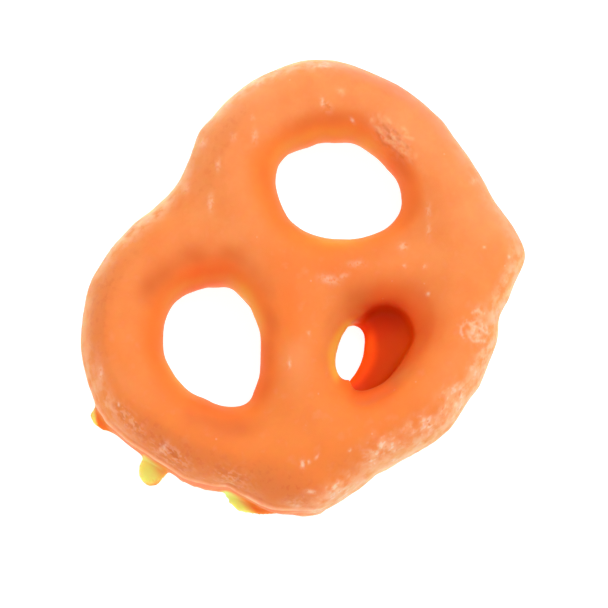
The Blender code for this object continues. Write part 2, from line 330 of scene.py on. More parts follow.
RED_BANDS = (
    ("left", 18, 62, 0.2, 1.2, 1.0),
    ("upper", 22, 64, 0.1, 0.8, 0.3),
    ("upper", 115, 170, 0.6, 0.9, 0.35),
    ("left", 120, 165, 0.6, 0.8, 0.3),
    ("left", -160, -125, 0.7, 0.8, 0.6),
    ("small", -155, -105, 0.5, 1.2, 0.9),
    ("small", -75, 30, 0.5, 1.4, 0.5),
)
YELLOW_BANDS = (
    ("left", -40, 20, 0.0, 0.6, 1.0),
    ("left", -205, -165, 0.1, 0.4, 0.4),
    ("left", 12, 95, 0.2, 0.4, 0.3),
    ("upper", -10, 15, 0.0, 0.5, 0.7),
    ("upper", 15, 110, 0.2, 0.5, 0.45),
    ("upper", -165, -115, 0.3, 0.8, 0.65),
)

# How many degrees a band's ends take to fade, and how far from a rim its painted glow is full and then gone
BAND_END = 12
YELLOW_BAND_END = 22
RIM_GLOW = (0.7, 2.4)

# The outer edge by the way it faces, in degrees from the view's right: its bloom with a painted halo,
# its painted cream glow where it turns under and at its foot, the painted brown shade behind it, its painted
# rosy shade and its lip
EDGE_WAYS = tuple(range(0, 360, 30))
EDGE_BLOOM_AND_HALO = (0.95, 0.6, 0.15, 1.5, 2.0, 0.6, 0.3, 1.1, 0.3, 0.4, 0.9, 1.3)
EDGE_CREAM_GLOW = (0.15, 0.0, 0.0, 0.8, 1.5, 0.25, 0.2, 0.15, 0.0, 0.1, 0.15, 0.25)
EDGE_FOOT_GLOW = (0.45, 0.2, 0.1, 0.2, 0.3, 0.2, 0.1, 0.15, 0.15, 0.5, 1.3, 1.3)
EDGE_SHADE = (0.0, 0.0, 0.35, 0.1, 0.0, 0.75, 0.65, 0.1, 0.85, 0.5, 0.15, 0.0)
EDGE_ROSE_SHADE = (0.0, 0.4, 1.0, 0.25, 0.0, 0.0, 0.0, 0.0, 0.0, 0.0, 0.0, 0.0)
EDGE_LIP = (0.0, 0.0, 0.0, 0.0, 0.0, 0.0, 0.0, 1.0, 1.0, 1.0, 0.2, 0.0)

# Broad painted light and shade, as ovals in plan: above 0 is lighter and below 0 is darker. Besides,
# painted light makes the coating lighter towards the view's top, over this distance on each side of the
# part's middle.
PAINTED_TONES = (
    (12.5, 14.5, 3.5, 1.6, -30, 0.30),
    (-5.0, -2.9, 3.0, 1.3, 40, 0.45),
    (-1.5, 0.4, 2.8, 2.0, 38, -0.6),
    (1.0, 3.5, 2.5, 2.5, 0, -0.5),
    (-16.0, 8.0, 3.5, 1.0, 80, 0.25),
    (16.5, -9.0, 4.0, 2.5, -60, 0.35),
    (17.6, 2.0, 4.5, 1.4, 86, 0.35),
    (3.0, -14.2, 3.0, 1.2, 0, 0.25),
    (-3.0, 14.0, 3.5, 2.0, 10, -0.25),
    (3.7, -0.4, 3.5, 1.8, -50, -0.60),
    (9.8, 15.8, 3.2, 1.6, 5, 0.55),
)
PAINTED_LIGHT_REACH = 16

# Colours, as red, green, blue and opacity in linear light
# These two are painted light: the coating is lighter towards the view's top and darker below
MORE_LIT_ORANGE = (0.92, 0.335, 0.106, 1)
LESS_LIT_ORANGE = (0.92, 0.280, 0.058, 1)
CLOUD_ORANGE = (0.86, 0.240, 0.050, 1)
PINK_ORANGE = (0.95, 0.350, 0.140, 1)
# These two are broad painted light and painted shade
PAINTED_LIGHT_ORANGE = (0.95, 0.40, 0.17, 1)
PAINTED_SHADE_ORANGE = (0.88, 0.215, 0.034, 1)
# This colour is painted shade on the slopes into the holes
BAND_SHADE_ORANGE = (0.77, 0.192, 0.041, 1)
# These three are painted glow at the holes' rims
RIM_GLOW_ORANGE = (0.98, 0.248, 0.038, 1)
RED_RIM_GLOW = (1.0, 0.175, 0.028, 1)
YELLOW_RIM_GLOW = (1.0, 0.47, 0.070, 1)
# This colour is painted shade in the pits and beside the scar
PIT_SHADE_BROWN = (0.62, 0.150, 0.030, 1)
GRIT_ORANGE = (0.82, 0.180, 0.035, 1)
# This colour is painted shade behind the outer edge and in the shade patches
SHADE_BROWN = (0.74, 0.218, 0.062, 1)
SPOT_RED = (0.72, 0.135, 0.045, 1)
# These four are painted shade in the small hole's hollow, lighter towards its right, and painted glow at its
# gap
HOLLOW_SHADE_RED = (0.68, 0.050, 0.001, 1)
WEB_SHADE_RED = (0.68, 0.068, 0.001, 1)
WEB_LIGHTER_SHADE_RED = (0.84, 0.092, 0.001, 1)
GLOWING_RED = (1.0, 0.13, 0.004, 1)
# This colour is bloom with a painted pale halo at the outer edge
PALE_BLOOM_AND_HALO = (0.98, 0.50, 0.29, 1)
HAZE = (1.0, 0.54, 0.32, 1)
# This colour is painted glow of the thin outer edges
CREAM = (1.0, 0.72, 0.35, 1)
# This colour is painted rosy shade at the outer edge
ROSE = (0.80, 0.245, 0.13, 1)
CHALK = (0.98, 0.72, 0.54, 1)
SCAR_CREAM = (0.92, 0.52, 0.26, 1)
# These two are the lip's bloom with a painted highlight on its crest, and the painted shade and glow under it
LIP_BLOOM_AND_HIGHLIGHT = (1.0, 0.49, 0.29, 1)
UNDER_LIP_SHADE_AND_GLOW = (0.96, 0.165, 0.045, 1)
# These two are the painted glow of the thin drips, orange near the body and yellow at their tips
DRIP_GLOW_ORANGE = (1.0, 0.22, 0.028, 1)
DRIP_GLOW_YELLOW = (1.0, 0.92, 0.25, 1)

# Colours laid over one another in this order: the mask that they follow, how strongly, and the colour
# Broad painted light and shade
PAINTED_TONE_LAYERS = (
    ("painted_light_tone", 1, PAINTED_LIGHT_ORANGE),
    ("painted_shade_tone", 1, PAINTED_SHADE_ORANGE),
)
# Painted glow and painted shade along the holes' rims
RIM_LAYERS = (
    ("rim_glow", 0.85, RIM_GLOW_ORANGE),
    ("rim_bands", 0.85, RIM_GLOW_ORANGE),
    ("shade_bands", 0.85, BAND_SHADE_ORANGE),
    ("red_bands", 1, RED_RIM_GLOW),
    ("yellow_bands", 1, YELLOW_RIM_GLOW),
)
# Painted shade
SHADE_LAYERS = (
    ("edge_shade", 0.7, SHADE_BROWN),
    ("shade", 0.48, SHADE_BROWN),
)
# Painted rosy shade, painted cream glow, and the lip's painted shade and glow with bloom and painted
# highlight
EDGE_LAYERS = (
    ("edge_rose_shade", 0.75, ROSE),
    ("cream_edge_glow", 0.88, CREAM),
    ("under_lip_shade_and_glow", 0.7, UNDER_LIP_SHADE_AND_GLOW),
    ("lip", 1, LIP_BLOOM_AND_HIGHLIGHT),
)
# Painted lighter shade to the right of the hollow, and painted glow at its gap
WEB_LAYERS = (
    ("hollow_right", 1, WEB_LIGHTER_SHADE_RED),
    ("gap_glow", 1, GLOWING_RED),
)
# Marks, with painted shade in the pits and beside the scar
MARK_LAYERS = (
    ("grain", 1, HAZE),
    ("crumbs", 0.9, CHALK),
    ("grit", 0.55, GRIT_ORANGE),
    ("pit_rims", 0.35, CHALK),
    ("pit", 0.6, PIT_SHADE_BROWN),
    ("flecks", 0.75, CHALK),
    ("scratches", 0.45, CHALK),
    ("scar_groove_shade", 0.32, PIT_SHADE_BROWN),
    ("scar_light", 0.62, SCAR_CREAM),
)

# Strengths of the colours that noise spreads, and how far apart the chalky dots lie
CLOUD_STRENGTH = 0.5
PINK_STRENGTH = 0.5
BLOOM_AND_HALO_STRENGTH = 0.88
SPOT_STRENGTH = 0.42
DOT_STRENGTH = 0.25
DOT_SPACING = 1.5

# The coating's surface: how far red, green and blue light spread in it, its gloss, the least and the
# most of its roughness with the size of the noise between them, and its finest bump
LIGHT_SPREAD = (2.2, 0.6, 0.2)
COATING_IOR = 1.45
COATING_SPECULAR = 0.15
ROUGHNESS = (0.46, 0.62)
ROUGHNESS_SIZE = 0.34
BUMP_SIZE = 0.28
BUMP_STRENGTH = 0.14
BUMP_DEPTH = 0.1


def per_point(mesh, field):
    """One vector for each point of a mesh, its co or its normal."""
    flat = np.empty(len(mesh.vertices) * 3)
    mesh.vertices.foreach_get(field, flat)
    return flat.reshape(-1, 3)


def coordinates(mesh):
    return per_point(mesh, "co")


def normals(mesh):
    return per_point(mesh, "normal")


def fine_mesh(node):
    """The CAD solid's mesh, remade as small even faces with its sharp cuts softened."""
    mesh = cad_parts[node].data.copy()
    editable = bmesh.new()
    editable.from_mesh(mesh)
    bmesh.ops.remove_doubles(editable, verts=editable.verts, dist=JOIN_REACH * MM)
    editable.to_mesh(mesh)
    editable.free()
    obj = bpy.data.objects.new("pretzel_coating", mesh)
    bpy.context.scene.collection.objects.link(obj)
    remesh = obj.modifiers.new("even_faces", "REMESH")
    remesh.mode = "VOXEL"
    remesh.voxel_size = VOXEL * MM
    remesh.use_smooth_shade = True
    soften = obj.modifiers.new("soften", "SMOOTH")
    soften.iterations = SMOOTH_STEPS
    bpy.context.view_layer.update()
    evaluated = obj.evaluated_get(bpy.context.evaluated_depsgraph_get())
    smooth = bpy.data.meshes.new_from_object(evaluated)
    obj.modifiers.clear()
    obj.data = smooth
    return obj


def even_out(editable, near, steps, heights_too):
    """Evens out some points of an open mesh in plan, and in height where that is wanted too."""
    for _ in range(steps):
        bmesh.ops.smooth_vert(editable, verts=near, factor=0.5, use_axis_x=True, use_axis_y=True,
                              use_axis_z=heights_too)


def round_corners(mesh):
    """Rounds some sharp upright edges of the solid without changing any height."""
    editable = bmesh.new()
    editable.from_mesh(mesh)
    for x, y, reach, bottom, top in ROUNDED:
        near = [v for v in editable.verts if bottom * MM <= v.co.z < top * MM
                and math.hypot(v.co.x / MM - x, v.co.y / MM - y) < reach]
        even_out(editable, near, ROUNDING_STEPS, False)
    editable.to_mesh(mesh)
    editable.free()


def turbulence(points, size, octaves, shift):
    """Soft noise from about -1 to 1 at each point, with features of this size. Each use has its own
    shift, so that no two follow the same pattern."""
    scale = 1 / (size * MM)
    offset = Vector((shift, shift * 0.7, -shift))
    values = [noise.fractal(Vector(p) * scale + offset, NOISE_WEAKER, NOISE_FINER, octaves) for p in points]
    return np.array(values)


def fade(values, low, high):
    """Goes smoothly from 0 at the low value to 1 at the high one."""
    share = np.clip((values - low) / (high - low), 0, 1)
    return share * share * (3 - 2 * share)


def oval_reach(points, x, y, length, width, turn=0):
    """How far out each point is in an oval, seen from above: 0 in its middle and 1 on its edge."""
    c, s = math.cos(math.radians(turn)), math.sin(math.radians(turn))
    dx, dy = points[:, 0] / MM - x, points[:, 1] / MM - y
    along, across = dx * c + dy * s, dy * c - dx * s
    return np.hypot(along / length, across / width)


def soft_oval(points, x, y, length, width, turn=0):
    """1 in the middle of an oval, fading softly around its edge."""
    return np.exp(-SOFTNESS * oval_reach(points, x, y, length, width, turn) ** 2)


def patches(points, ovals):
    """How strongly each point is marked by a set of soft ovals, from 0 to 1, on all but the lowest walls."""
    mask = np.zeros(len(points))
    for *oval, strength in ovals:
        mask = np.maximum(mask, strength * soft_oval(points, *oval))
    return mask * fade(points[:, 2] / MM, 1.5, 3.5)


def summed(points, ovals):
    """The same for ovals that add up and may be below zero, at any height."""
    total = np.zeros(len(points))
    for *oval, strength in ovals:
        total += strength * soft_oval(points, *oval)
    return total


def towards(points, direction, origin=(0, 0)):
    """How far each point lies from the origin along a direction in plan."""
    return (points[:, 0] / MM - origin[0]) * direction[0] + (points[:, 1] / MM - origin[1]) * direction[1]


def nearest_round(way, distance, chosen, step, far):
    """The chosen points' smallest distance in each step of the way round, read at every point's way."""
    nearest = np.full(360 // step, far)
    np.minimum.at(nearest, (way[chosen] // step).astype(int) % len(nearest), distance[chosen])
    middles = (np.arange(len(nearest)) + 0.5) * step
    return np.interp(way, middles, nearest, period=360)


def rim_places(points):
    """For each hole, every point's way from its middle in degrees and its distance from its rim."""
    places = {}
    for name, (x, y) in RIMS.items():
        dx, dy = points[:, 0] / MM - x, points[:, 1] / MM - y
        way, reach = np.degrees(np.arctan2(dy, dx)) % 360, np.hypot(dx, dy)
        upper = points[:, 2] > RIM_HEIGHT * MM
        places[name] = way, reach - nearest_round(way, reach, upper, RIM_STEP, RIM_FAR)
    return places


def rim_bands(places, bands, height, end):
    """Soft bands along the holes' rims, from 0 to 1."""
    mask = np.zeros(len(height))
    for rim, low, high, distance, width, strength in bands:
        way, out = places[rim]
        middle, half = (low + high) / 2, (high - low) / 2
        away = np.abs((way - middle + 180) % 360 - 180)
        along = 1 - fade(away, half - end, half + end)
        mask = np.maximum(mask, strength * along * np.exp(-(((out - distance) / width) ** 2)))
    return mask * fade(height, 1.0, 3.0)


def rim_glow(places):
    """How close each point is to the rim of one of the two big holes."""
    nearest = np.minimum(np.abs(places["upper"][1]), np.abs(places["left"][1]))
    return 1 - fade(nearest, *RIM_GLOW)


def lines(points, marks):
    """Thin soft lines drawn on the coating."""
    middle, width, *drawn = marks
    right = towards(points, PHOTO_RIGHT, middle)
    up = towards(points, PHOTO_UP, middle)
    mask = np.zeros(len(points))
    for line in drawn:
        for (ax, ay), (bx, by) in zip(line, line[1:]):
            dx, dy = bx - ax, by - ay
            share = np.clip(((right - ax) * dx + (up - ay) * dy) / (dx * dx + dy * dy), 0, 1)
            away = np.hypot(right - ax - share * dx, up - ay - share * dy)
            mask = np.maximum(mask, np.exp(-((away / width) ** 2)))
    return mask * (points[:, 2] > 2 * MM)


def stretched(points, turn, ratio):
    """The points with their plan squeezed along one direction, so that noise on them is drawn out."""
    c, s = math.cos(math.radians(turn)), math.sin(math.radians(turn))
    along, across = points[:, 0] * c + points[:, 1] * s, points[:, 1] * c - points[:, 0] * s
    return np.stack((along / ratio, across, points[:, 2]), 1)


def seen_from_gap(points):
    """Every point's way in degrees from the gap's middle as the photo shows it, and how far outside
    the gap's edge it lies."""
    middle_right, middle_up, length, width, turn = SEEN_GAP
    right = towards(points, PHOTO_RIGHT) - middle_right
    tall = points[:, 2] / MM * math.cos(math.radians(CAMERA_ELEVATION))
    up = towards(points, PHOTO_UP) * math.sin(math.radians(CAMERA_ELEVATION)) + tall - middle_up
    way = np.degrees(np.arctan2(up, right)) % 360
    turned = np.radians(way - turn)
    edge = 1 / np.hypot(np.cos(turned) / length, np.sin(turned) / width)
    return way, np.hypot(right, up) - edge


def stretch(way, middle, full, gone):
    """1 near a middle way, and 0 where the way is further off it."""
    return 1 - fade(np.abs(way - middle), full, gone)


def open_gap(points):
    """Gives the gap the oval outline that it has in the photo, by small moves of the walls around it."""
    way, outside = seen_from_gap(points)
    start, full, fading, end = BESIDE_WEB
    beside_web = fade(way, start, full) * (1 - fade(way, fading, end))
    above_web = beside_web * fade(points[:, 2] / MM, 1.9, 2.4)
    excess = nearest_round(way, outside, above_web < 0.5, GAP_STEP, GAP_FAR)
    move = -excess * (1 - fade(outside - excess, 0.1, 1.1)) * (1 - above_web)
    moved = points.copy()
    turned = np.radians(way)
    for axis in (0, 1):
        moved[:, axis] += MM * move * (np.cos(turned) * PHOTO_RIGHT[axis] + np.sin(turned) * PHOTO_UP[axis])
    return moved


def smooth_gap(mesh):
    """Evens out the thin edge around the gap, and the wall over its top."""
    points = coordinates(mesh)
    way, outside = seen_from_gap(points)
    edge = (outside < 0.45) & (points[:, 2] < 3.5 * MM)
    top = (way > GAP_EVEN_WAYS[0]) & (way < GAP_EVEN_WAYS[1]) & (outside < 1.2)
    editable = bmesh.new()
    editable.from_mesh(mesh)
    editable.verts.ensure_lookup_table()
    near = [editable.verts[i] for i in np.nonzero(edge | top)[0]]
    even_out(editable, near, GAP_SMOOTH_STEPS, True)
    editable.to_mesh(mesh)
    editable.free()


def hollow_depth(points):
    """How deep each point lies in the small hole's hollow, which sets how strong its painted shade is."""
    inside = 1 - fade(oval_reach(points, *HOLLOW), 1.02, 1.35)
    way, outside = seen_from_gap(points)
    over_gap = stretch(way, *OVER_GAP) * (1 - fade(outside, 1.2, 2.0))
    return inside * (1 - fade(points[:, 2] / MM, 3.0, 7.0)) * (1 - 0.6 * over_gap)


def gap_glow(points):
    """How near each point is to the open gap of the small hole, and to the thin rim at its left."""
    way, outside = seen_from_gap(points)
    glow = (1 - fade(outside, 0.55, 1.6)) * (1 - 0.75 * stretch(way, *GAP_TOP))
    return glow, stretch(way, *GAP_LEFT) * (1 - fade(outside, 0.3, 1.1))


def steepness(facing):
    """0 where the surface is level, and 1 where it is upright."""
    return np.hypot(facing[:, 0], facing[:, 1])


def outer_side(points, facing):
    """Faces on the outside of the pretzel and not in its holes."""
    x, y = (points[:, :2] / MM).T
    outward = (facing[:, 0] * x + facing[:, 1] * y) / np.hypot(x, y).clip(1)
    return fade(oval_reach(points, *OUTLINE), 0.66, 0.84) * fade(outward, 0.0, 0.15)


def photo_way(mesh):
    """The way each point faces, in degrees from the photo's right, evened out around corners."""
    facing = normals(mesh)[:, :2]
    edges = np.empty(len(mesh.edges) * 2, dtype=np.int32)
    mesh.edges.foreach_get("vertices", edges)
    ends = np.concatenate((edges[0::2], edges[1::2]))
    others = np.concatenate((edges[1::2], edges[0::2]))
    neighbours = np.bincount(ends, minlength=len(facing)).clip(1)[:, None]
    for _ in range(WAY_STEPS):
        total = np.stack([np.bincount(ends, facing[others, axis], len(facing)) for axis in (0, 1)], 1)
        facing = (facing + total / neighbours) / 2
    return np.degrees(np.arctan2(facing[:, 1], facing[:, 0])) - CAMERA_AZIMUTH


def by_way(way, strengths):
    """A strength for each point by the way it faces in plan."""
    return np.interp(way, EDGE_WAYS, strengths, period=360)


def edge_bloom_and_halo(points, facing, way):
    """A faint bloom with a painted pale halo where the coating turns over its outer edge, weaker low on the
    walls.
    """
    lower = 0.5 + 0.5 * fade(points[:, 2] / MM, 1.5, 4.0)
    bloom = np.clip(fade(steepness(facing), 0.50, 0.97) * by_way(way, EDGE_BLOOM_AND_HALO) * lower, 0, 2)
    return bloom * outer_side(points, facing)


def edge_shade(points, facing, way):
    """Painted brownish shade on the shoulder behind the outer edge, down to the lip where there is one."""
    steep = steepness(facing)
    lip = by_way(way, EDGE_LIP) * fade(points[:, 2] / MM, LIP_HEIGHT + 0.15, LIP_HEIGHT + 0.45)
    shoulder = fade(steep, 0.08, 0.55) * np.maximum(1 - fade(steep, 0.78, 0.97), lip)
    leftward = fade(-facing[:, 0] * PHOTO_RIGHT[0] - facing[:, 1] * PHOTO_RIGHT[1], 0.2, 0.6)
    calm = 1 - 0.7 * leftward * fade(towards(points, PHOTO_UP), 0, 5)
    return shoulder * calm * by_way(way, EDGE_SHADE) * outer_side(points, facing)


def edge_rose_shade(points, facing, way):
    """Painted rosy shade where the outer edge turns down at the view's upper right."""
    return fade(steepness(facing), 0.35, 0.85) * by_way(way, EDGE_ROSE_SHADE) * outer_side(points, facing)


def cream_edge_glow(points, facing, way):
    """Painted cream glow on the thin outer edges: the foot of the belly, and where the notch's side turns
    under.
    """
    height = points[:, 2] / MM
    foot = by_way(way, EDGE_FOOT_GLOW) * (1 - 0.7 * fade(height, 0.6, 3.6)) * (1 - fade(facing[:, 2], 0.12, 0.60))
    turn = by_way(way, EDGE_CREAM_GLOW) * fade(height, 2.4, 4.2) * (1 - fade(facing[:, 2], 0.20, 0.75))
    uneven = np.clip(0.85 + 1.1 * turbulence(points, 1.2, 3, 29.0), 0.1, 1.3)
    return np.clip(np.maximum(foot, turn) * uneven, 0, 1) * outer_side(points, facing)


def lower_left(points, facing, way):
    """Outer walls that face the photo's lower left, where the coating ends in a thin lip."""
    return fade(steepness(facing), 0.3, 0.7) * by_way(way, EDGE_LIP) * outer_side(points, facing)


def drip_masks(points):
    """Where the thin drips at the base are, and how strong their painted yellow glow is."""
    low = 1 - fade(points[:, 2] / MM, 0.8, 1.9)
    mask, yellow = np.zeros(len(points)), np.zeros(len(points))
    for x, y, length, width, turn, way, yellow_width in DRIPS:
        inside = (1 - fade(oval_reach(points, x, y, length, width, turn), 0.95, 1.25)) * low
        beyond_wall = fade(towards(points, Vector((x, y)).normalized(), (x, y)), -0.9, -0.3)
        mask = np.maximum(mask, inside * beyond_wall)
        out = towards(points, (math.cos(math.radians(way)), math.sin(math.radians(way))), (x, y))
        tip = out[inside > 0.5].max()
        yellow = np.maximum(yellow, inside * fade(out, tip - yellow_width, tip - 0.3 * yellow_width))
    return mask, yellow


def refine_marks(mesh):
    """Cuts the faces finer where the coating has marks that need it."""
    points = coordinates(mesh)
    height = points[:, 2] / MM
    lip = lower_left(points, normals(mesh), photo_way(mesh)) * fade(height, 3.4, 3.8)
    lip *= 1 - fade(height, 5.0, 5.5)
    drawn = [(*marks[0], DRAWN_REACH, DRAWN_REACH, 0, 1) for marks in (SCRATCHES, SCAR_LIGHT)]
    marked = np.maximum.reduce([patches(points, GRAIN_PATCHES), patches(points, PIT_PATCHES) - 0.1,
                                patches(points, FLECKS), patches(points, drawn) - 0.1, lip])
    editable = bmesh.new()
    editable.from_mesh(mesh)
    editable.verts.ensure_lookup_table()
    chosen = set()
    for face in editable.faces:
        if max(marked[v.index] for v in face.verts) > MARKED:
            chosen.update(face.edges)
    bmesh.ops.subdivide_edges(editable, edges=list(chosen), cuts=MARK_CUTS, use_grid_fill=True, smooth=0.6)
    bmesh.ops.triangulate(editable, faces=[f for f in editable.faces if len(f.verts) > 4])
    editable.to_mesh(mesh)
    editable.free()


def reshape(points, facing, way):
    """Small corrections of the walls, the lip, the dished rim of the hollow, and the web's thin edge."""
    height = points[:, 2] / MM
    steep = steepness(facing)
    sideways = facing[:, :2] / steep.clip(0.2)[:, None]
    out = np.zeros(len(points))
    for x, y, reach, amount in TRIMS:
        out += amount * soft_oval(points, x, y, reach, reach)
    out += np.interp(height, *zip(*LIP_PROFILE)) * lower_left(points, facing, way)
    moved = points.copy()
    moved[:, :2] += sideways * (out * MM * fade(steep, 0.2, 0.6))[:, None]
    in_hollow = oval_reach(points, *HOLLOW)
    dish = DISH_DEPTH * (1 - fade(in_hollow, 1.0, DISH_REACH))
    moved[:, 2] -= dish * MM * fade(height, 3.0, 6.0)
    near_gap = 1 - fade(oval_reach(points, *GAP), 1.0, WEB_LIFT_REACH)
    near_gap *= 1 - fade(in_hollow, 0.94, 1.02)
    lift = WEB_LIFT * near_gap * (1 - height / WEB_LIFT_TOP).clip(0, 1)
    moved[:, 2] += lift * MM
    return open_gap(moved)


def shape_walls(mesh):
    """Rounds and corrects the walls, and cuts the mesh finer where marks are to be raised."""
    round_corners(mesh)
    refine_marks(mesh)
    points = reshape(coordinates(mesh), normals(mesh), photo_way(mesh))
    mesh.vertices.foreach_set("co", points.ravel())
    smooth_gap(mesh)
    mesh.update()


def find_marks(points, facing):
    """How strongly each kind of mark shows at each point, and the noise that grain and pits follow."""
    top = fade(facing[:, 2], 0.0, 0.5) * fade(points[:, 2] / MM, 3, 5)
    patchy = np.clip(0.62 + 1.2 * turbulence(points, 1.2, 2, 9.0), 0.1, 1)
    pitting = turbulence(stretched(points, *PIT_RUN), PITS[1], 3, 7.0)
    broken = np.clip(0.75 + 1.1 * turbulence(points, 0.30, 3, 11.0), 0, 1)
    worn = np.clip(0.7 + 1.2 * turbulence(points, 0.38, 2, 13.0), 0, 1)
    return {
        "grain": patches(points, GRAIN_PATCHES) * patchy,
        "streaks": turbulence(stretched(points, *GRAIN_RUN), GRAIN[1], 2, 5.0),
        "pitted": patches(points, PIT_PATCHES),
        "hollows": np.clip(pitting - 0.02, 0, None),
        "flecks": patches(points, FLECKS) * broken * top,
        "scratches": lines(points, SCRATCHES) * worn,
        "scar_light": lines(points, SCAR_LIGHT) * worn,
        "scar_groove_shade": lines(points, SCAR_GROOVE_SHADE),
    }


def raised(points, facing, marks):
    """The points moved by the swell, the orange peel and the marks, with the base kept flat."""
    push = SWELL[0] * turbulence(points, SWELL[1], 2, 1.0)
    push += ORANGE_PEEL[0] * turbulence(points, ORANGE_PEEL[1], 2, 3.0)
    crumbs = np.clip(marks["streaks"] + 0.05, 0, None)
    push += GRAIN[0] * marks["grain"] * crumbs - PITS[0] * marks["pitted"] * marks["hollows"]
    push += (FLECK_HEIGHT * marks["flecks"] + SCRATCH_HEIGHT * marks["scratches"]
             + SCAR_HEIGHT * (marks["scar_light"] - marks["scar_groove_shade"]))
    push *= fade(points[:, 2] / MM, 0, 0.6)
    moved = points + facing * (push * MM)[:, None]
    moved[:, 2] = np.maximum(moved[:, 2], 0)
    return moved


def broad_masks(points):
    """Masks for the painted light towards the view's top, the broad painted light and shade, and the drips
    with their painted glow.
    """
    # Broad painted light above 0 and painted shade below 0
    tone = summed(points, PAINTED_TONES)
    drip, yellow = drip_masks(points)
    return {
        # Painted light: the coating is made lighter towards the view's top
        "upper": fade(towards(points, PHOTO_UP), -PAINTED_LIGHT_REACH, PAINTED_LIGHT_REACH),
        "painted_light_tone": np.clip(tone, 0, 1),
        "painted_shade_tone": np.clip(-tone, 0, 1),
        "drip": drip,
        "drip_glow_yellow": yellow,
    }


def rim_masks(points, height):
    """Masks for the painted glow and painted shade along the holes' rims."""
    places = rim_places(points)
    uneven = np.clip(0.97 + 0.5 * turbulence(points, 2.8, 2, 23.0), 0.5, 1.2)
    return {
        "rim_glow": rim_glow(places),
        "rim_bands": rim_bands(places, RIM_GLOW_BANDS, height, BAND_END),
        "shade_bands": rim_bands(places, SHADE_BANDS, height, BAND_END) * uneven,
        "red_bands": rim_bands(places, RED_BANDS, height, BAND_END),
        "yellow_bands": rim_bands(places, YELLOW_BANDS, height, YELLOW_BAND_END),
    }


def edge_masks(points, facing, way, height):
    """Masks for the outer edge's bloom and painted halo, painted shade and painted glow, and for the lip: its
    bloom and painted highlight, and the painted shade and glow below it.
    """
    side = lower_left(points, facing, way)
    broken = np.clip(0.85 + 0.6 * turbulence(points, 1.4, 3, 31.0), 0.4, 1.15)
    patchy = np.clip(0.95 + 0.7 * turbulence(points, 2.0, 3, 37.0), 0.5, 1.3)
    below = side * (1 - fade(height, LIP_HEIGHT - 0.8, LIP_HEIGHT - 0.3))
    below *= patchy * (0.75 + 0.25 * fade(height, 0, 1.5))
    return {
        "edge_bloom_and_halo": edge_bloom_and_halo(points, facing, way),
        "edge_shade": edge_shade(points, facing, way),
        "edge_rose_shade": edge_rose_shade(points, facing, way),
        "cream_edge_glow": cream_edge_glow(points, facing, way),
        # Bloom and a painted highlight along the lip's crest
        "lip": side * broken * np.exp(-(((height - LIP_HEIGHT) / 0.3) ** 2)),
        "under_lip_shade_and_glow": np.clip(below, 0, 1),
    }


def hollow_masks(points):
    """Masks for the painted shade in the small hole's hollow, lighter to its right, and the painted glow at
    its gap.
    """
    glow, rim = gap_glow(points)
    return {
        "hollow_depth": hollow_depth(points),
        "hollow_shadow_side": fade(towards(points, HOLLOW_SHADOW_WAY, HOLLOW[:2]), -0.4, 1.2),
        "hollow_right": fade(towards(points, PHOTO_RIGHT, HOLLOW[:2]), 1.8, 4.2),
        "gap_glow": glow,
        "gap_rim_glow": rim,
    }


def mark_masks(points, marks):
    """Masks for the colours of the marks, with painted shade in the pits, in the shade patches and beside the
    scar.
    """
    grain, pitted, hollows = marks["grain"], marks["pitted"], marks["hollows"]
    speckles = turbulence(points, 0.34, 1, 17.0)
    ridges = -hollows - turbulence(points, 0.35, 2, 19.0)
    return {
        "grain": grain,
        "crumbs": grain * fade(marks["streaks"], 0.10, 0.32),
        "grit": fade(grain, 0.1, 0.4) * fade(speckles, 0.50, 0.62),
        # Painted shade in the pits' hollows
        "pit": pitted * np.clip(hollows * 4, 0, 1),
        "pit_rims": pitted * fade(ridges, -0.1, 0.15),
        "shade": patches(points, SHADE_PATCHES),
        "flecks": marks["flecks"],
        "scratches": marks["scratches"],
        "scar_light": marks["scar_light"],
        "scar_groove_shade": marks["scar_groove_shade"],
    }


def store_masks(mesh, masks):
    """Stores each mask on the mesh's points under its name, where the material reads it."""
    for name, values in masks.items():
        attribute = mesh.attributes.new(name, "FLOAT", "POINT")
        attribute.data.foreach_set("value", values.astype(np.float32))


def relief(mesh):
    """Shapes the coating, raises its marks, and stores the masks that its colours follow."""
    shape_walls(mesh)
    points, facing = coordinates(mesh), normals(mesh)
    height = points[:, 2] / MM
    marks = find_marks(points, facing)
    points = raised(points, facing, marks)
    mesh.vertices.foreach_set("co", points.ravel())
    mesh.update()
    way = photo_way(mesh)
    store_masks(mesh, broad_masks(points))
    store_masks(mesh, rim_masks(points, height))
    store_masks(mesh, edge_masks(points, facing, way, height))
    store_masks(mesh, hollow_masks(points))
    store_masks(mesh, mark_masks(points, marks))
    mesh.shade_smooth()


